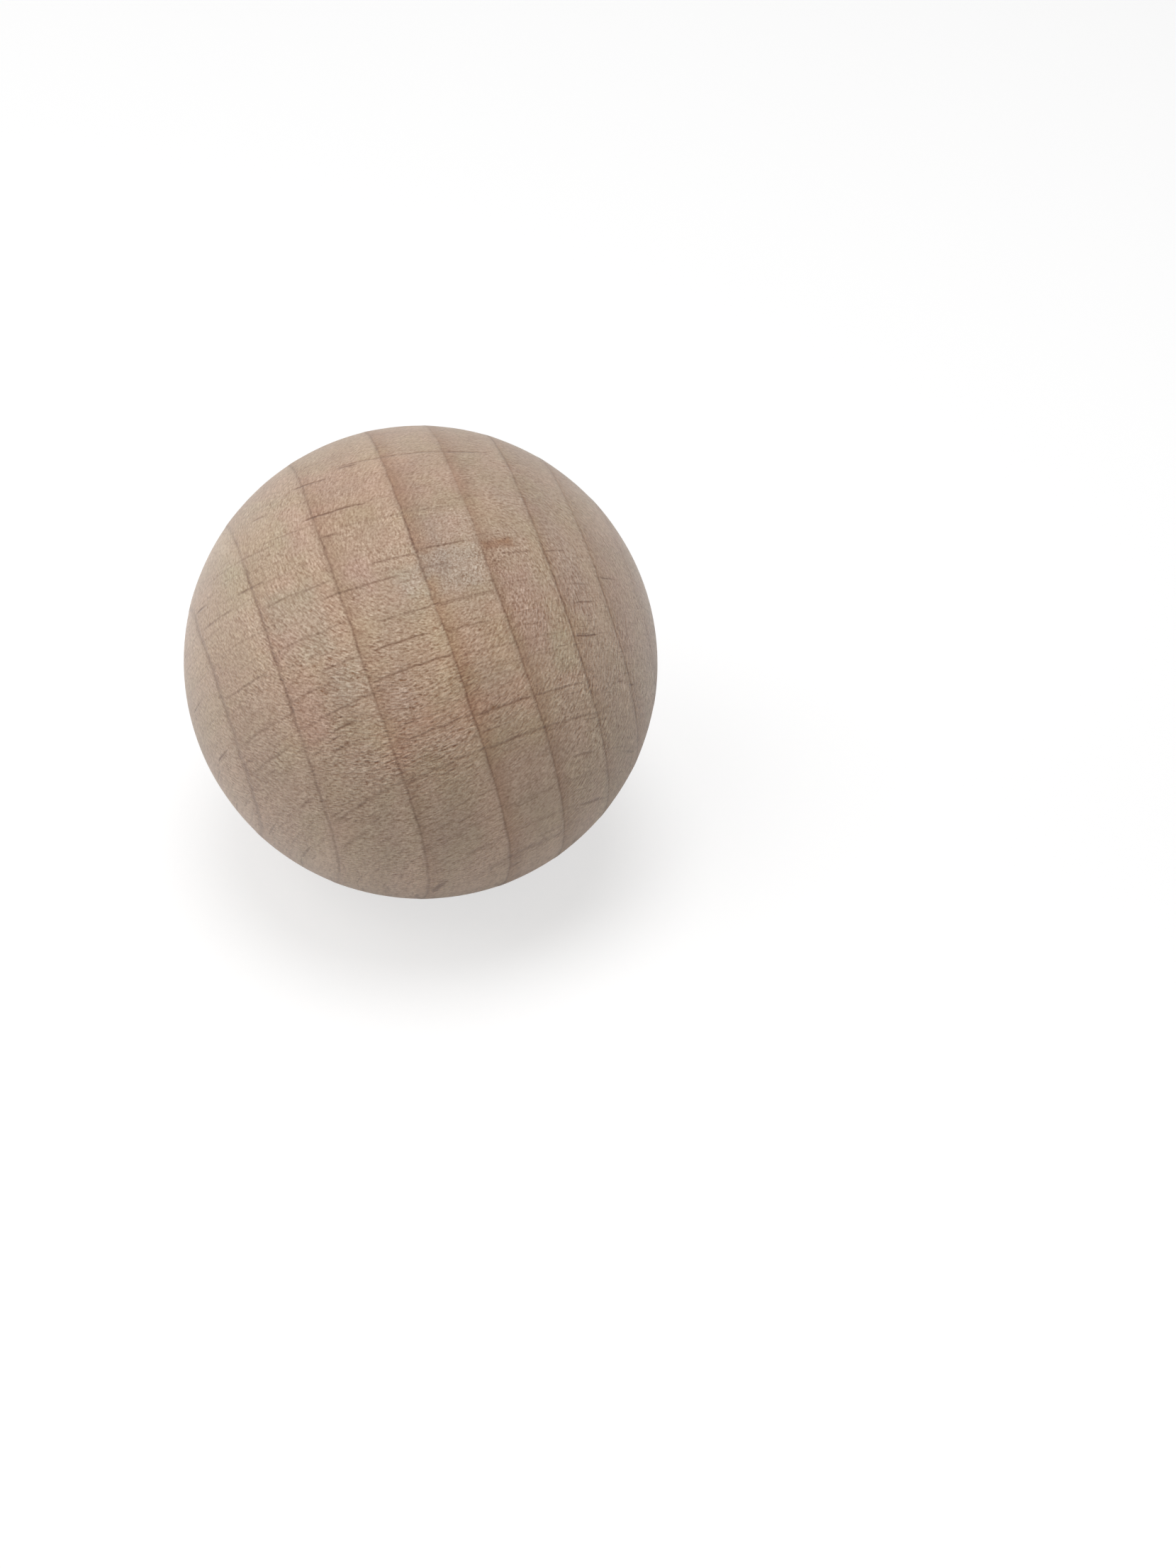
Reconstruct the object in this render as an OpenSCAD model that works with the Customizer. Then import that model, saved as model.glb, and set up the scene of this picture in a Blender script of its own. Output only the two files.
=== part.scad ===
// Turned wooden ball: one plain solid, with no bore, flat or groove.
// Sizes are in millimetres. The origin is the ball's centre, with +Z up.

/* [Ball] */
// Diameter of the ball
ball_d = 33; // [10:0.5:100]

/* [Hidden] */
$fn = 128;

// The ball, turned in one piece and sanded round.
module ball() {
    color("burlywood") sphere(d = ball_d);
}

ball();
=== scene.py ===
import math

import bpy
from mathutils import Matrix, Vector, noise


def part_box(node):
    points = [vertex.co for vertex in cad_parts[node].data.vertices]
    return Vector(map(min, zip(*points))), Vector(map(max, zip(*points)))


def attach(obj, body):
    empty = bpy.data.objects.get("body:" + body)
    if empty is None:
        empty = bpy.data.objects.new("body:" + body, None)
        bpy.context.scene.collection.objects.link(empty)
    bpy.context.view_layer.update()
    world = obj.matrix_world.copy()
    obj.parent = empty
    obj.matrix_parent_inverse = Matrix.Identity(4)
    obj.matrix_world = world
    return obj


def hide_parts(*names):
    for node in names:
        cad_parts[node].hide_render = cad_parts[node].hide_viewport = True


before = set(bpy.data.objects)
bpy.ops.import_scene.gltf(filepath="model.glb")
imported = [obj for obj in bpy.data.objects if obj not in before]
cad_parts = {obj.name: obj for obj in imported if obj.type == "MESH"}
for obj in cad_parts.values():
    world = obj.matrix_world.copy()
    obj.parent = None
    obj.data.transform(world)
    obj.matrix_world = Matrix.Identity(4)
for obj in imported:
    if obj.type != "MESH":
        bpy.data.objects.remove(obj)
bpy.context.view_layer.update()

scene = bpy.context.scene
scene.view_settings.view_transform = "Standard"

# ---------------------------------------------------------------- camera
# A close-up camera, a hand's length from the ball and looking down on it at an angle.
# It is aimed to the lower right, so that the ball sits left of and above the middle of its frame.
frame_width_px = 1659
frame_height_px = 2212
ball_x_px = 596.2
ball_y_px = 936.2
focal_length_px = 3041
sensor_mm = 36
camera_distance = 0.1519
camera_elevation = math.radians(40)
nearest_seen = 0.001
farthest_seen = 10

to_camera = Vector((0, -math.cos(camera_elevation), math.sin(camera_elevation)))
camera_up = Vector((0, math.sin(camera_elevation), math.cos(camera_elevation)))
level = Matrix((Vector((1, 0, 0)), camera_up, to_camera)).transposed()
ball_in_frame = Vector((ball_x_px - frame_width_px / 2, frame_height_px / 2 - ball_y_px, -focal_length_px))
aim = ball_in_frame.rotation_difference(Vector((0, 0, -1))).to_matrix()
bpy.ops.object.camera_add(location=to_camera * camera_distance)
camera = bpy.context.object
camera.name = "camera"
camera.rotation_euler = (level @ aim).to_euler()
camera.data.sensor_width = sensor_mm
camera.data.lens = sensor_mm * focal_length_px / frame_height_px
camera.data.clip_start = nearest_seen
camera.data.clip_end = farthest_seen
scene.camera = camera

# ---------------------------------------------------------------- ball
# The ball: one piece of beech, turned from square stock and sanded, with no finish on the wood.
# The end grain faces the camera, so the growth rings cross it as curved lines and the rays run across them.
ball_low, ball_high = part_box("ball")
ball_radius = (ball_high.z - ball_low.z) / 2
mm = 0.001

# Lie of the wood in the ball: which way the grain runs, and where the tree's pith was.
grain_azimuth = math.radians(9.3)
grain_elevation = math.radians(58.0)
pith_turn = math.radians(18.7)
pith_distance = 84.4
grain = Vector((
    math.sin(grain_azimuth) * math.cos(grain_elevation),
    -math.cos(grain_azimuth) * math.cos(grain_elevation),
    math.sin(grain_elevation),
))
across = Vector((1, 0, 0)) - grain * grain.x
across.normalize()
outward = -across * math.cos(pith_turn) - grain.cross(across) * math.sin(pith_turn)
along_ring = grain.cross(outward)
to_wood = Matrix((outward, along_ring, grain))

# Growth lines: how far outwards each one is from the ball's centre, in mm, how dark the late wood
# inside it is, and the stretches round the ring where the line is stronger or fainter than elsewhere,
# each with its start, its end and how strong it is there.
growth_lines = (
    (14.7, 0.3, ((-3.0, -1.0, 1.3),)),
    (11.18, 0.3, ((-5.5, 4.5, 1.4),)),
    (6.42, 0.6, ((-5.5, 2.5, 1.2),)),
    (1.12, 1.0, ((-5.2, 0.2, 1.6), (0.8, 1.9, 0.6), (5.0, 11.0, 1.2))),
    (-3.05, 0.8, ((-16.0, -1.6, 0.5), (1.0, 5.0, 1.25))),
    (-7.15, 0.55, ((-2.2, 8.2, 1.35),)),
    (-10.55, 0.6, ((-14.0, -3.0, 0.6), (1.5, 4.5, 1.2))),
    (-13.7, 0.4, ((-14.0, 14.0, 0.4),)),
    (-16.1, 0.6, ()),
)


def wood_place(point):
    """Where a point of the ball lies in the tree, in mm: outwards, round the ring, and along the grain."""
    x, y, height = to_wood @ point / mm
    x += pith_distance
    return math.hypot(x, y) - pith_distance, math.atan2(y, x) * pith_distance, height


# Shape: a cube cut into small squares and blown up to the ball, then worn as sanding wears beech.
squares_per_side = 101
bpy.ops.object.select_all(action="DESELECT")
bpy.ops.mesh.primitive_cube_add(size=ball_radius, rotation=(math.pi / 2 - camera_elevation, 0, 0))
ball = bpy.context.object
ball.name = "turned_ball"
# Each side of the cube gets its own tile of the bake map, and the side that faces the camera a larger one.
tile_corners = ((0, 0), (1, 0), (1, 1), (0, 1))
tile_margin = 0.004
third = 1 / 3
small_tiles = [(2 * third, 0), (2 * third, third), (2 * third, 2 * third), (third, 2 * third), (0, 2 * third)]
bake_map = ball.data.uv_layers.active
bake_map.name = "OFBake"
for side in ball.data.polygons:
    left, low, width = 0, 0, 2 * third
    if side.normal.z < 0.5:
        left, low = small_tiles.pop()
        width = third
    for corner, (across_tile, up_tile) in zip(side.loop_indices, tile_corners):
        inner = width - 2 * tile_margin
        across_map = left + tile_margin + across_tile * inner
        up_map = low + tile_margin + up_tile * inner
        bake_map.data[corner].uv = (across_map, up_map)
bpy.ops.object.transform_apply(rotation=True)
bpy.ops.object.mode_set(mode="EDIT")
bpy.ops.mesh.subdivide(number_cuts=squares_per_side - 1)
bpy.ops.object.mode_set(mode="OBJECT")
rounding = ball.modifiers.new("rounding", "CAST")
rounding.cast_type = "SPHERE"
rounding.factor = 1
rounding.use_radius_as_size = False
rounding.size = ball_radius
bpy.ops.object.modifier_apply(modifier=rounding.name)

late_wood_proud_mm = 0.02
late_wood_width_mm = 1.2
unevenness_mm = 0.02
unevenness_length_mm = 3
for vertex in ball.data.vertices:
    ring_place, ray_place, height = wood_place(vertex.co)
    low_mm = late_wood_proud_mm
    for line, darkness, stretches in growth_lines:
        inside = line - ring_place
        if 0 <= inside < late_wood_width_mm:
            low_mm = late_wood_proud_mm * inside / late_wood_width_mm
    low_mm += unevenness_mm * (0.5 + 0.5 * noise.noise(vertex.co / mm / unevenness_length_mm))
    vertex.co *= 1 - low_mm * mm / ball_radius
bpy.ops.object.shade_smooth()

# Finish: the wood's own figure, worked out from where each point lay in the tree.
beech = bpy.data.materials.new("beech")
beech.use_nodes = True
nodes = beech.node_tree.nodes
links = beech.node_tree.links
shader = nodes["Principled BSDF"]


def feed(socket, value):
    """Sets a socket to a number or colour, or links it to another node's output."""
    if isinstance(value, bpy.types.NodeSocket):
        links.new(value, socket)
    else:
        socket.default_value = value


def maths(operation, *values):
    node = nodes.new("ShaderNodeMath")
    node.operation = operation
    for socket, value in zip(node.inputs, values):
        feed(socket, value)
    return node.outputs[0]


def vector_maths(operation, *values):
    node = nodes.new("ShaderNodeVectorMath")
    node.operation = operation
    for socket, value in zip(node.inputs, values):
        feed(socket, value)
    return node.outputs["Value" if operation in ("DOT_PRODUCT", "LENGTH") else "Vector"]


def ramp(value, low, high, out_low=0.0, out_high=1.0):
    """A smooth step from out_low to out_high as value goes from low to high."""
    node = nodes.new("ShaderNodeMapRange")
    # A smooth step holds its end values by itself, so the node needs no clamp as well.
    node.interpolation_type = "SMOOTHSTEP"
    node.clamp = False
    for name, number in (("Value", value), ("From Min", low), ("From Max", high),
                         ("To Min", out_low), ("To Max", out_high)):
        feed(node.inputs[name], number)
    return node.outputs[0]


def speckle(place, scale, detail=2.0, roughness=0.5, distortion=0.0):
    """Cloudy noise from 0 to 1 with one spot in about 1 / scale mm."""
    node = nodes.new("ShaderNodeTexNoise")
    feed(node.inputs["Vector"], place)
    node.inputs["Scale"].default_value = scale
    node.inputs["Detail"].default_value = detail
    node.inputs["Roughness"].default_value = roughness
    node.inputs["Distortion"].default_value = distortion
    return node.outputs[0]


def chance(place):
    """One random number from 0 to 1 for each place."""
    node = nodes.new("ShaderNodeTexWhiteNoise")
    node.noise_dimensions = "3D"
    feed(node.inputs["Vector"], place)
    return node.outputs[0]


def point(x, y, z):
    node = nodes.new("ShaderNodeCombineXYZ")
    for socket, value in zip(node.inputs, (x, y, z)):
        feed(socket, value)
    return node.outputs[0]


def split(vector):
    node = nodes.new("ShaderNodeSeparateXYZ")
    feed(node.inputs[0], vector)
    return node.outputs[0], node.outputs[1], node.outputs[2]


def blend(kind, share, first, second):
    node = nodes.new("ShaderNodeMix")
    node.data_type = "RGBA"
    node.blend_type = kind
    feed(node.inputs[0], share)
    feed(node.inputs[6], first)
    feed(node.inputs[7], second)
    return node.outputs[2]


ball_place = nodes.new("ShaderNodeTexCoord").outputs["Object"]
turn = nodes.new("ShaderNodeMapping")
turn.inputs["Scale"].default_value = (1 / mm, 1 / mm, 1 / mm)
turn.inputs["Rotation"].default_value = to_wood.to_euler()
feed(turn.inputs["Vector"], ball_place)
in_wood = turn.outputs[0]
wood_x, wood_y, wood_height = split(in_wood)
from_pith = maths("ADD", wood_x, pith_distance)
from_pith_squared = maths("MULTIPLY", from_pith, from_pith)
radius = maths("SQRT", maths("ADD", from_pith_squared, maths("MULTIPLY", wood_y, wood_y)))
angle = maths("ARCTAN2", wood_y, from_pith)
ring_place = maths("SUBTRACT", radius, pith_distance)
ray_place = maths("MULTIPLY", angle, pith_distance)

# All figure is drawn out along the grain.
along_grain_squeeze = 0.12
stretched = vector_maths("MULTIPLY", in_wood, (1, 1, along_grain_squeeze))

# The wood's own small wavering, so that no line is drawn with a ruler.
ring_waver_mm = 0.3
fine_waver_mm = 0.12
ray_waver_mm = 0.25
ray_lean = 0.05
ring_waver = maths("SUBTRACT", speckle(stretched, 0.25), 0.5)
fine_waver = maths("SUBTRACT", speckle(stretched, 1.2), 0.5)
ray_waver = maths("SUBTRACT", speckle(stretched, 0.7), 0.5)
ring_at = maths("ADD", ring_place, maths("MULTIPLY", ring_waver, ring_waver_mm))
ring_at = maths("ADD", ring_at, maths("MULTIPLY", fine_waver, fine_waver_mm))
ray_at = maths("ADD", ray_place, maths("MULTIPLY", ring_place, ray_lean))
ray_at = maths("ADD", ray_at, maths("MULTIPLY", ray_waver, ray_waver_mm))

# Growth rings: a thin dark line, a band of darker late wood inside it and paler early wood outside it.
# These are in mm, and the line fades a little in places along its length.
line_half_width = 0.15
line_darkness = 0.62
stretch_edge = 0.7
late_wood_reach = 1.5
early_wood_start = 0.1
early_wood_full = 0.5
early_wood_end = 1.9
growth_line = 0.0
late_wood = 0.0
early_wood = 0.0
for line, darkness, stretches in growth_lines:
    inside = maths("SUBTRACT", line, ring_at)
    off_line = maths("ABSOLUTE", inside)
    strength = line_darkness
    for start, end, change in stretches:
        off_middle = maths("ABSOLUTE", maths("SUBTRACT", ray_at, (start + end) / 2))
        half_length = (end - start) / 2
        change_here = ramp(off_middle, half_length + stretch_edge, half_length - stretch_edge, 1.0, change)
        strength = maths("MULTIPLY", strength, change_here)
    this_line = maths("MULTIPLY", ramp(off_line, line_half_width, 0.0), strength)
    growth_line = maths("MAXIMUM", growth_line, this_line)
    fade = ramp(inside, late_wood_reach, 0.0, 0.0, darkness)
    begun = maths("GREATER_THAN", inside, 0.0)
    late_wood = maths("MAXIMUM", late_wood, maths("MULTIPLY", fade, begun))
    begins = ramp(inside, -early_wood_start, -early_wood_full)
    past = ramp(inside, -early_wood_end, -early_wood_full)
    early_wood = maths("MAXIMUM", early_wood, maths("MULTIPLY", begins, past))
line_strength = ramp(speckle(stretched, 0.8, 3.0), 0.35, 0.6, 0.7, 1.0)
growth_line = maths("MULTIPLY", growth_line, line_strength)

# Rays on the front of the ball: where each one lies round the ring, where it starts and ends going
# inwards, in mm, and how dark it is.
front_rays = (
    (-13.5, 1.0, -1.2, 0.4),
    (-11.7, 6.0, 0.5, 0.2),
    (-10.5, 4.2, -3.0, 0.6),
    (-10.45, 4.2, 2.6, 0.9),
    (-9.9, 7.1, 4.8, 0.9),
    (-10.1, -3.0, -6.2, 0.8),
    (-8.85, 10.1, 9.0, 0.7),
    (-7.0, 7.1, 3.0, 1.0),
    (-6.6, 10.0, 6.5, 0.4),
    (-6.4, 13.5, 9.0, 0.4),
    (-5.35, 6.5, 5.4, 0.85),
    (-5.4, 5.0, -2.8, 0.35),
    (-5.25, 14.7, 13.8, 1.2),
    (-4.3, 12.1, 10.3, 0.9),
    (-3.75, 14.5, 12.5, 0.7),
    (-2.55, 11.0, 6.5, 0.6),
    (-2.45, 4.2, 1.0, 0.6),
    (-2.45, 1.1, -2.4, 0.75),
    (-1.5, 14.0, 10.1, 0.35),
    (-1.4, 7.6, 2.6, 0.8),
    (-1.25, 2.6, -0.8, 0.45),
    (-0.95, -4.0, -6.3, 0.6),
    (-0.65, -7.0, -8.7, 0.75),
    (0.2, 11.2, 6.5, 0.5),
    (0.8, 14.5, 11.9, 0.55),
    (1.25, 4.9, -3.0, 0.55),
    (1.6, -10.5, -12.1, 1.0),
    (1.45, 1.1, -3.0, 0.4),
    (1.95, -8.0, -9.5, 0.6),
    (2.4, 9.0, 6.4, 0.6),
    (2.65, 5.8, 2.0, 0.9),
    (3.05, 10.4, 9.5, 0.85),
    (3.15, 1.0, -2.4, 0.6),
    (3.35, -8.0, -9.6, 0.9),
    (3.45, 14.5, 10.8, 0.4),
    (4.3, 6.4, 1.0, 0.8),
    (4.7, 9.9, 5.0, 0.6),
    (4.95, 14.4, 11.5, 0.5),
    (4.95, 0.8, -7.0, 0.35),
    (5.6, 9.5, 7.8, 0.95),
    (5.65, -7.1, -9.2, 1.1),
    (6.0, 3.2, -6.0, 0.25),
    (6.5, 9.9, 8.6, 0.8),
    (7.8, 12.8, 11.5, 0.65),
    (8.0, 5.8, 1.0, 0.6),
    (8.35, 1.0, -3.0, 0.85),
    (8.5, -2.8, -7.0, 0.7),
    (9.3, -10.3, -11.2, 0.9),
    (9.55, 11.0, 6.4, 0.6),
    (10.0, 6.4, 0.8, 0.6),
    (10.4, 1.0, -8.0, 0.6),
    (12.6, -4.4, -6.3, 0.75),
    (13.4, 6.5, 1.5, 0.3),
    (13.7, 1.1, -8.0, 0.3),
    (14.85, 4.2, -6.2, 0.3),
    (15.8, 2.9, -3.1, 0.5),
)
ray_half_width = 0.13
pale_ray_half_width = 0.09
ray_end_outside = 0.2
ray_end_inside = 0.5
ray_breaks = ramp(speckle(stretched, 2.0), 0.3, 0.55, 0.6, 1.0)


def ray_line(offset, start, end, half_width, darkness):
    """One ray: full darkness on its middle line, fading to nothing at half_width and at its two ends."""
    middle = (start + end) / 2
    half_length = (start - end) / 2
    leaned = offset + ray_lean * middle
    off_ray = maths("ABSOLUTE", maths("SUBTRACT", ray_at, leaned))
    off_middle = maths("ABSOLUTE", maths("SUBTRACT", ring_at, middle))
    across_ray = ramp(off_ray, half_width, 0.0, 0.0, darkness)
    along_ray = ramp(off_middle, half_length + ray_end_outside, half_length - ray_end_inside)
    return maths("MULTIPLY", across_ray, along_ray)


rays = 0.0
for offset, start, end, darkness in front_rays:
    rays = maths("MAXIMUM", rays, ray_line(offset, start, end, ray_half_width, darkness))
front_face = ramp(wood_height, 1.0, 3.0)
rays = maths("MULTIPLY", rays, front_face)


def scattered_rays(spacing, length, rise, half_width, salt):
    """Thin upright sheets that run outwards, one to a cell, each drawn with its own place and darkness.

    The cells are in mm: spacing round the ring, length outwards and rise along the grain.
    The salt and the odd small numbers only keep the draws apart.
    """
    column = maths("FLOOR", maths("DIVIDE", ray_at, spacing))
    column_shift = chance(point(column, salt, 0.0))
    run = maths("ADD", maths("DIVIDE", ring_place, length), maths("MULTIPLY", column_shift, 7.0))
    run_cell = maths("FLOOR", run)
    lift = chance(point(column, run_cell, salt + 1.0))
    climb = maths("ADD", maths("DIVIDE", wood_height, rise), maths("MULTIPLY", lift, 5.0))
    climb_cell = maths("FLOOR", climb)
    cell = point(column, run_cell, climb_cell)
    place_in_column = ramp(chance(vector_maths("ADD", cell, (salt, 0.3, 0.7))), 0.0, 1.0, 0.2, 0.8)
    strength = chance(vector_maths("ADD", cell, (0.5, salt, 0.1)))
    strength = maths("MULTIPLY", strength, strength)
    column_part = maths("SUBTRACT", maths("DIVIDE", ray_at, spacing), column)
    off_sheet = maths("ABSOLUTE", maths("SUBTRACT", column_part, place_in_column))
    off_sheet = maths("MULTIPLY", off_sheet, spacing)
    end_off = maths("ABSOLUTE", maths("SUBTRACT", maths("SUBTRACT", run, run_cell), 0.5))
    top_off = maths("ABSOLUTE", maths("SUBTRACT", maths("SUBTRACT", climb, climb_cell), 0.5))
    ends = maths("MULTIPLY", ramp(end_off, 0.48, 0.36), ramp(top_off, 0.48, 0.2))
    thickness = maths("MULTIPLY", ends, half_width)
    sheet = ramp(maths("DIVIDE", off_sheet, maths("MAXIMUM", thickness, 0.001)), 1.0, 0.2)
    return maths("MULTIPLY", sheet, strength)


# Broad rays all over the ball, though few on the front, and narrow ones that show most low down.
broad_rays = scattered_rays(spacing=1.1, length=6.0, rise=3.0, half_width=0.1, salt=3.0)
narrow_rays = scattered_rays(spacing=0.45, length=2.0, rise=1.0, half_width=0.07, salt=11.0)
broad_on_front = ramp(wood_height, 3.0, 8.0, 1.0, 0.3)
broad_rays = maths("MULTIPLY", broad_rays, broad_on_front)
rays = maths("MULTIPLY", maths("MAXIMUM", rays, broad_rays), ray_breaks)
narrow_darkness = ramp(ray_place, 0.0, 6.0, 0.15, 0.5)
rays = maths("MAXIMUM", rays, maths("MULTIPLY", narrow_rays, narrow_darkness))

# Pale rays, where the sanding has left the fibres standing.
pale_rays = 0.0
for offset, start, end, paleness in (
    (-5.1, 2.2, 0.6, 1.0),
    (-5.0, 0.6, -2.0, 0.5),
    (-1.05, -1.7, -2.9, 1.0),
    (3.05, -3.2, -5.5, 0.7),
):
    pale_rays = maths("MAXIMUM", pale_rays, ray_line(offset, start, end, pale_ray_half_width, paleness))
pale_rays = maths("MULTIPLY", pale_rays, front_face)

# How far the edge of a patch wanders to either side, in mm.
ragged_edge_mm = 0.9
ragged = maths("MULTIPLY", maths("SUBTRACT", speckle(stretched, 1.4, 3.0), 0.5), ragged_edge_mm)


def patch(ring_middle, ray_middle, ring_reach, ray_reach, edge):
    """A patch between two rings and two rays, 1 inside and 0 outside, with a ragged edge. All are in mm."""
    off_ring = maths("SUBTRACT", maths("ABSOLUTE", maths("SUBTRACT", ring_at, ring_middle)), ring_reach)
    off_ray = maths("SUBTRACT", maths("ABSOLUTE", maths("SUBTRACT", ray_at, ray_middle)), ray_reach)
    outside = maths("ADD", maths("MAXIMUM", off_ring, off_ray), ragged)
    return ramp(outside, edge, -edge)


# Colours: the bare wood's own, what each kind of figure makes of it, and a painted highlight on the burnished
# spot.
wood_colour = (0.424, 0.299, 0.209, 1)
growth_line_tint = (0.48, 0.36, 0.27, 1)
late_wood_tint = (0.83, 0.73, 0.65, 1)
early_wood_tint = (1.07, 1.08, 1.08, 1)
ray_tint = (0.43, 0.31, 0.22, 1)
pale_ray_tint = (1.22, 1.25, 1.27, 1)
pink_tint = (1.015, 0.985, 0.99, 1)
straw_tint = (0.985, 1.01, 0.97, 1)
# The burnished spot's pale bluish tint, partly a painted highlight of the overhead lamp.
burnished_and_highlight_tint = (1.01, 1.10, 1.20, 1)
fleck_tint = (0.70, 0.53, 0.41, 1)
pit_tint = (0.8, 0.74, 0.7, 1)
speck_tint = (1.25, 1.3, 1.35, 1)

# The wood is a little lighter, pinker or more straw-coloured from place to place.
pink_offset = (31, 7, 3)
straw_offset = (5, 57, 3)
tone = ramp(speckle(stretched, 0.35, 3.0), 0.3, 0.7, 1.02, 1.12)
pink = ramp(speckle(vector_maths("ADD", stretched, pink_offset), 0.4, 2.0), 0.42, 0.62)
straw = ramp(speckle(vector_maths("ADD", stretched, straw_offset), 0.4, 2.0), 0.45, 0.65)

# A greyer spot on the front, burnished by a knock, with less of the late wood's colour.
# Its pale bluish tint is partly a painted highlight, standing in for the overhead lamp's reflection on the
# glossier burnished wood.
# Each part of it has its middle outwards and round the ring, its two reaches, and how strong it is.
burnished_and_highlight_edge = 0.5
burnished_and_highlight_late_wood_loss = 0.6
burnished_and_highlight = 0.0
for ring_middle, ray_middle, ring_reach, ray_reach, share in (
    (-1.1, -0.8, 1.6, 1.4, 0.75),
    (-0.05, -1.4, 1.15, 0.85, 1.0),
    (2.1, -0.6, 0.8, 1.0, 0.5),
):
    here = patch(ring_middle, ray_middle, ring_reach, ray_reach, burnished_and_highlight_edge)
    burnished_and_highlight = maths("MAXIMUM", burnished_and_highlight, maths("MULTIPLY", here, share))
burnished_and_highlight = maths("MULTIPLY", burnished_and_highlight, front_face)
late_wood_kept = maths("SUBTRACT", 1.0, maths("MULTIPLY", burnished_and_highlight, burnished_and_highlight_late_wood_loss))
late_wood = maths("MULTIPLY", late_wood, late_wood_kept)

# A short brown fleck beside it, darkest in its middle.
fleck_edge = 0.25
fleck_paler_share = 0.75
fleck_whole = maths("MULTIPLY", patch(-4.2, -1.95, 1.1, 0.3, fleck_edge), fleck_paler_share)
fleck_core = patch(-4.6, -2.1, 0.5, 0.25, fleck_edge)
fleck = maths("MULTIPLY", maths("MAXIMUM", fleck_whole, fleck_core), front_face)

# Patches of slightly different wood on the front: middle outwards and round the ring, the two reaches,
# and how much redder, bluer and lighter each one is.
patch_edge = 0.5
red_share = 0.6
green_share = 0.4
wood_patches = (
    (1.5, -8.6, 5.0, 1.9, 0.035, 0.01, 0.0),
    (2.0, 8.0, 5.0, 1.0, 0.05, -0.03, 0.0),
    (-4.7, 2.8, 1.2, 2.9, 0.04, 0.025, 0.0),
    (10.3, 3.0, 0.8, 3.2, 0.045, 0.01, 0.0),
    (7.6, -6.5, 0.7, 1.8, 0.03, 0.03, 0.0),
    (9.2, -0.3, 1.5, 2.3, -0.06, 0.045, 0.0),
    (7.6, 3.9, 1.0, 1.1, -0.04, 0.05, 0.0),
    (12.0, -4.5, 0.6, 1.8, -0.04, 0.0, 0.0),
    (-6.2, 6.0, 0.9, 1.3, -0.08, -0.02, 0.0),
    (2.0, -0.5, 0.8, 0.9, -0.05, 0.05, 0.0),
    (-1.4, -3.7, 1.5, 1.1, 0.0, 0.045, 0.0),
    (5.0, 5.4, 0.9, 1.2, 0.0, 0.035, 0.0),
    (-1.8, 4.5, 0.8, 1.8, -0.01, -0.035, 0.0),
    (0.5, 10.3, 4.0, 0.8, -0.01, -0.04, 0.0),
    (4.2, -6.5, 1.8, 1.2, 0.01, -0.03, 0.0),
    (-6.4, -7.0, 1.2, 3.0, 0.0, 0.03, 0.0),
    (5.0, -1.7, 0.8, 1.2, 0.03, 0.05, 0.0),
    (3.0, 2.0, 2.2, 1.6, -0.025, 0.01, 0.0),
    (-8.2, -1.0, 0.9, 5.0, 0.0, 0.05, 0.0),
    (0.3, -5.0, 0.9, 4.6, 0.0, 0.0, -0.12),
    (4.0, -5.0, 2.8, 4.0, 0.0, 0.0, -0.045),
    (1.6, 3.8, 4.0, 2.6, 0.0, 0.0, 0.045),
    (-5.2, 0.5, 1.4, 8.5, 0.0, 0.01, 0.02),
    (-6.0, -5.0, 5.5, 7.0, -0.02, 0.02, 0.0),
    (7.5, -3.5, 1.0, 2.5, 0.0, 0.0, -0.04),
    (6.5, 10.5, 3.0, 3.0, 0.0, 0.0, -0.03),
    (-2.0, 8.8, 1.8, 3.0, 0.0, 0.0, -0.05),
    (2.0, 5.0, 2.2, 3.0, 0.02, -0.03, 0.0),
    (-2.8, -4.0, 0.8, 3.0, 0.0, 0.0, -0.03),
    (10.3, -7.5, 2.2, 2.5, -0.045, 0.01, 0.045),
    (-6.2, 8.5, 2.2, 4.8, 0.0, 0.0, 0.04),
    (-1.5, 13.8, 4.0, 1.6, 0.0, 0.0, 0.06),
    (-12.5, 2.0, 1.6, 5.5, 0.03, 0.0, -0.05),
)
patch_tint = point(0.0, 0.0, 0.0)
for ring_middle, ray_middle, ring_reach, ray_reach, redder, bluer, lighter in wood_patches:
    here = patch(ring_middle, ray_middle, ring_reach, ray_reach, patch_edge)
    change = (lighter + redder * red_share, lighter - redder * green_share, lighter + bluer)
    patch_tint = vector_maths("MULTIPLY_ADD", point(here, here, here), change, patch_tint)
patch_tint = vector_maths("MULTIPLY", patch_tint, point(front_face, front_face, front_face))
patch_tint = vector_maths("ADD", patch_tint, (1, 1, 1))

# Fine texture left by sanding: short fibres that wind in a spiral round an axis leaning from straight up a
# little towards the camera, near where the main light comes from, so that they run as that light would shade
# raised fibres. Each is three specks in a row, and they show a little more in some places than in others.
stroke_axis = to_wood @ Vector((0.12, -0.43, 0.89))
spiral = math.radians(30)
round_axis = vector_maths("CROSS_PRODUCT", tuple(stroke_axis), in_wood)
to_axis = vector_maths("CROSS_PRODUCT", in_wood, round_axis)
round_share = math.cos(spiral)
axis_share = math.sin(spiral) * mm / ball_radius
sweep = vector_maths("MULTIPLY", round_axis, (round_share, round_share, round_share))
sweep = vector_maths("MULTIPLY_ADD", to_axis, (axis_share, axis_share, axis_share), sweep)
fibre_reach_mm = 0.085
fibres_per_mm = 8.0
sweep_here = maths("MAXIMUM", vector_maths("LENGTH", sweep), ball_radius / mm / 2)
reach = maths("DIVIDE", fibre_reach_mm, sweep_here)
sweep = vector_maths("MULTIPLY", sweep, point(reach, reach, reach))
fibres = 0.0
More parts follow.
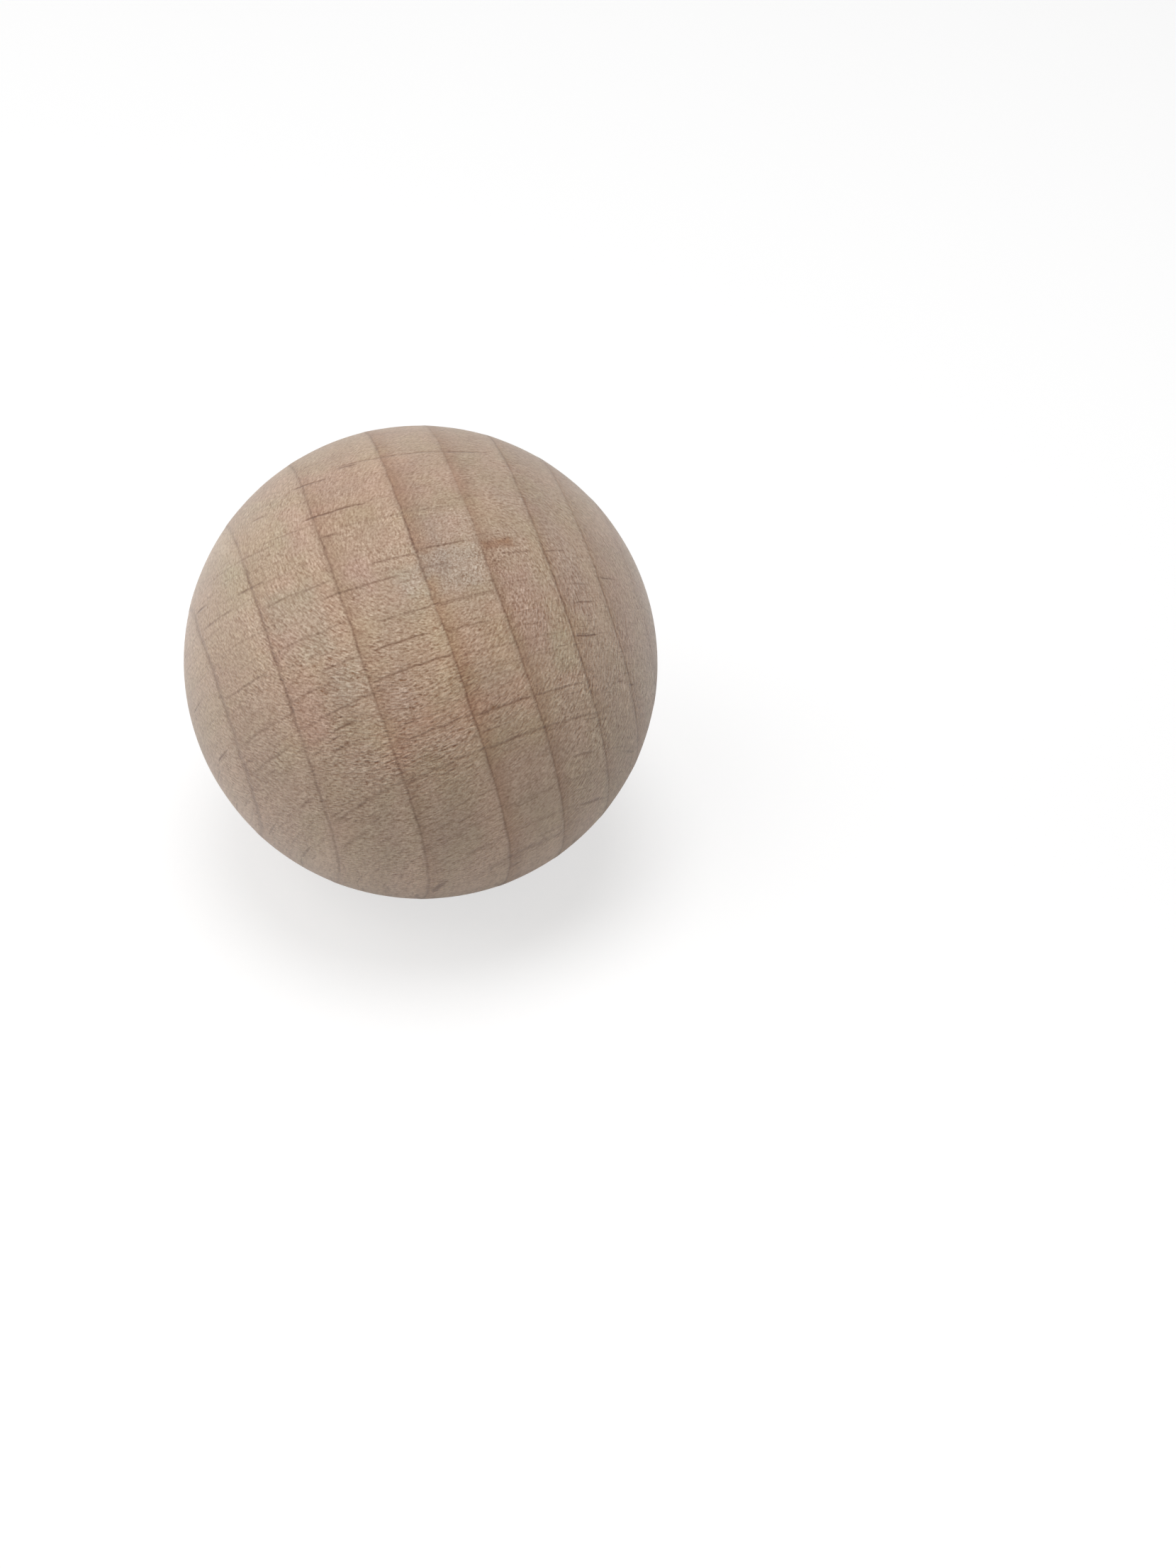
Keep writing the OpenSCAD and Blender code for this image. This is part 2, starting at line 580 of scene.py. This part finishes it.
for step in (-1.0, 0.0, 1.0):
    along = vector_maths("MULTIPLY_ADD", sweep, (step, step, step), in_wood)
    fibres = maths("ADD", fibres, speckle(along, fibres_per_mm, 1.0))
fibres = maths("SUBTRACT", maths("DIVIDE", fibres, 3.0), 0.5)

# How strong the fibres' relief and their painted shade are: weaker towards the top and the left edge,
# stronger low on the left, to the right and on the burnished spot.
# Towards the top the overhead lamp meets the surface face on and lower down its light grazes it, so the
# painted shade is laid out as that light would shade real relief.
# The places below are patches, each with its change.
faint_end = to_wood @ Vector((0.16, 0, 0.99))
towards_faint_end = vector_maths("DOT_PRODUCT", in_wood, tuple(faint_end))
relief_and_shade_here = ramp(towards_faint_end, 8.0, 16.5, 1.45, 0.85)
strong_end = to_wood @ Vector((-0.46, -0.87, 0.16))
towards_strong_end = vector_maths("DOT_PRODUCT", in_wood, tuple(strong_end))
relief_and_shade_here = maths("MULTIPLY", relief_and_shade_here, ramp(towards_strong_end, 10.0, 16.0, 0.87, 1.22))
relief_and_shade_here = maths("MULTIPLY", relief_and_shade_here, ramp(ring_place, -8.5, -1.5, 1.4, 1.0))
relief_and_shade_here = maths("MULTIPLY", relief_and_shade_here, ramp(ring_place, 8.0, 14.0, 1.0, 0.72))
burnished_and_highlight_stronger = 0.15
relief_and_shade_here = maths("ADD", relief_and_shade_here, maths("MULTIPLY", burnished_and_highlight, burnished_and_highlight_stronger))
rough_patch_edge = 1.0
for ring_middle, ray_middle, ring_reach, ray_reach, stronger in (
    (5.5, -6.0, 4.0, 4.0, 0.2),
    (-6.0, 1.5, 3.0, 3.0, 0.15),
    (4.0, 12.5, 8.0, 2.5, -0.3),
):
    here = patch(ring_middle, ray_middle, ring_reach, ray_reach, rough_patch_edge)
    here = maths("MULTIPLY", here, front_face)
    relief_and_shade_here = maths("MULTIPLY_ADD", here, stronger, relief_and_shade_here)
patchy_offset = (3, 11, 7)
patchy = ramp(speckle(vector_maths("ADD", stretched, patchy_offset), 0.45, 2.0), 0.38, 0.62, 0.8, 1.15)
relief_and_shade_here = maths("MULTIPLY", relief_and_shade_here, patchy)
fibres = maths("MULTIPLY", fibres, relief_and_shade_here)

# Pores: round pits where the grain ends at the surface, and short lines where it runs along it.
end_grain = ramp(maths("ABSOLUTE", wood_height), 4.0, 10.0)
end_pits = speckle(in_wood, 6.0, 1.0, 0.6)
side_pit_squeeze = 0.15
side_pits = speckle(vector_maths("MULTIPLY", in_wood, (1, 1, side_pit_squeeze)), 6.0, 2.0, 0.6)
pits = ramp(blend("MIX", end_grain, side_pits, end_pits), 0.56, 0.34)

# Pale specks, where the end of a fibre stands up.
specks = ramp(speckle(in_wood, 7.0, 0.0), 0.74, 0.84)

# The colours laid over one another. The fibres' shade is partly their own colour and partly painted shade of
# their relief, lighter on the raised fibres and darker between them; it is strongest in blue, as the wood's
# own is.
painted_fibre_shade_strength = 1.66
painted_fibre_shade_strengths = (painted_fibre_shade_strength, painted_fibre_shade_strength * 1.33, painted_fibre_shade_strength * 1.6)
colour = blend("MULTIPLY", pink, wood_colour, pink_tint)
colour = blend("MULTIPLY", straw, colour, straw_tint)
colour = vector_maths("MULTIPLY", colour, patch_tint)
colour = blend("MULTIPLY", early_wood, colour, early_wood_tint)
colour = blend("MULTIPLY", late_wood, colour, late_wood_tint)
# The burnished spot, whose tint is partly a painted highlight.
colour = blend("MULTIPLY", burnished_and_highlight, colour, burnished_and_highlight_tint)
colour = blend("MULTIPLY", fleck, colour, fleck_tint)
colour = blend("MULTIPLY", growth_line, colour, growth_line_tint)
colour = blend("MULTIPLY", rays, colour, ray_tint)
colour = blend("MULTIPLY", pale_rays, colour, pale_ray_tint)
colour = blend("MULTIPLY", pits, colour, pit_tint)
colour = blend("MULTIPLY", specks, colour, speck_tint)
# Painted shade of the fibres' relief, partly their own colour: the same fibres raise the bump below.
painted_fibre_shade = vector_maths("MULTIPLY_ADD", point(fibres, fibres, fibres), painted_fibre_shade_strengths, (1, 1, 1))
colour = vector_maths("MULTIPLY", colour, painted_fibre_shade)
colour = vector_maths("MULTIPLY", colour, point(tone, tone, tone))
feed(shader.inputs["Base Color"], colour)

# Shine and fine relief: the fuzz and the fibres stand up, and the rays and growth lines lie lower.
fuzz_height_mm = 0.03
fibre_height_mm = 0.05
ray_depth_mm = 0.02
line_depth_mm = 0.02
fuzz = speckle(in_wood, 5.0, 1.0)
feed(shader.inputs["Roughness"], ramp(fuzz, 0.2, 0.8, 0.45, 0.65))
shader.inputs["Specular IOR Level"].default_value = 0.3
shader.inputs["Sheen Weight"].default_value = 0.42
shader.inputs["Sheen Roughness"].default_value = 0.6
shader.inputs["Sheen Tint"].default_value = (1, 0.975, 0.95, 1)
height_mm = maths("MULTIPLY", maths("MULTIPLY", fuzz, relief_and_shade_here), fuzz_height_mm)
height_mm = maths("ADD", height_mm, maths("MULTIPLY", fibres, fibre_height_mm))
height_mm = maths("SUBTRACT", height_mm, maths("MULTIPLY", rays, ray_depth_mm))
height_mm = maths("SUBTRACT", height_mm, maths("MULTIPLY", growth_line, line_depth_mm))
bump = nodes.new("ShaderNodeBump")
bump.inputs["Strength"].default_value = 1
bump.inputs["Distance"].default_value = mm
feed(bump.inputs["Height"], height_mm)
feed(shader.inputs["Normal"], bump.outputs[0])
ball.data.materials.append(beech)

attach(ball, "root")
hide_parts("ball")

# ---------------------------------------------------------------- floor
# A plain pale round table top under the ball, which takes its shadow.
# It is one flat sheet, and the camera sees it a little lighter than the lamps alone make it.
floor_radius = 0.45
floor_corners = 128
own_light = 0.66
lamp_lit_grey = (0.8, 0.8, 0.8, 1)
seen_grey = (0.4, 0.4, 0.4, 1)
bpy.ops.mesh.primitive_circle_add(
    vertices=floor_corners, radius=floor_radius, fill_type="NGON", location=(0, 0, ball_low.z)
)
floor = bpy.context.object
floor.name = "floor"
floor_paint = bpy.data.materials.new("floor_paint")
floor_paint.use_nodes = True
floor_nodes = floor_paint.node_tree.nodes
floor_links = floor_paint.node_tree.links
paint = floor_nodes["Principled BSDF"]
paint.inputs["Roughness"].default_value = 0.9
paint.inputs["Specular IOR Level"].default_value = 0
paint.inputs["Emission Color"].default_value = (1, 1, 1, 1)
seen_by = floor_nodes.new("ShaderNodeLightPath").outputs["Is Camera Ray"]
own_white = floor_nodes.new("ShaderNodeMath")
own_white.operation = "MULTIPLY"
own_white.inputs[1].default_value = own_light
floor_links.new(seen_by, own_white.inputs[0])
floor_links.new(own_white.outputs[0], paint.inputs["Emission Strength"])
floor_grey = floor_nodes.new("ShaderNodeMix")
floor_grey.data_type = "RGBA"
floor_grey.inputs[6].default_value = lamp_lit_grey
floor_grey.inputs[7].default_value = seen_grey
floor_links.new(seen_by, floor_grey.inputs[0])
floor_links.new(floor_grey.outputs[2], paint.inputs["Base Color"])
floor.data.materials.append(floor_paint)

# ---------------------------------------------------------------- lights
# Soft studio light: a lamp overhead, one high to the front left, a low one on the left, a faint low one
# in front, and white walls all round. Each lamp is a round panel that faces the ball from the same distance.
lamp_distance = 0.45
lamp_width = 0.25
lamps = (
    ("overhead", 0, 90, 1.20),
    ("front_left", 300, 58, 0.48),
    ("left", 270, 12, 0.41),
    ("front_right", 15, 0, 0.10),
)
for name, azimuth, elevation, watts in lamps:
    round_by = math.radians(azimuth)
    up_by = math.radians(elevation)
    level_share = math.cos(up_by)
    to_lamp = Vector((math.sin(round_by) * level_share, -math.cos(round_by) * level_share, math.sin(up_by)))
    place = to_lamp * lamp_distance
    bpy.ops.object.light_add(type="AREA", location=place)
    lamp = bpy.context.object
    lamp.name = name
    lamp.data.shape = "DISK"
    lamp.data.size = lamp_width
    lamp.data.energy = watts
    lamp.rotation_euler = (-place).to_track_quat("-Z", "Y").to_euler()

walls = bpy.data.worlds.new("walls")
scene.world = walls
walls.use_nodes = True
wall_nodes = walls.node_tree.nodes
wall_links = walls.node_tree.links
background = wall_nodes["Background"]
background.inputs["Color"].default_value = (1, 1, 1, 1)
wall_light = 0.18
wall_seen = 1
ray = wall_nodes.new("ShaderNodeLightPath")
mirrored = wall_nodes.new("ShaderNodeMath")
mirrored.operation = "MAXIMUM"
wall_links.new(ray.outputs["Is Camera Ray"], mirrored.inputs[0])
wall_links.new(ray.outputs["Is Glossy Ray"], mirrored.inputs[1])
clear = wall_nodes.new("ShaderNodeMath")
clear.operation = "MAXIMUM"
wall_links.new(mirrored.outputs[0], clear.inputs[0])
wall_links.new(ray.outputs["Is Transmission Ray"], clear.inputs[1])
level_of_walls = wall_nodes.new("ShaderNodeMapRange")
level_of_walls.inputs["To Min"].default_value = wall_light
level_of_walls.inputs["To Max"].default_value = wall_seen
wall_links.new(clear.outputs[0], level_of_walls.inputs["Value"])
wall_links.new(level_of_walls.outputs[0], background.inputs["Strength"])
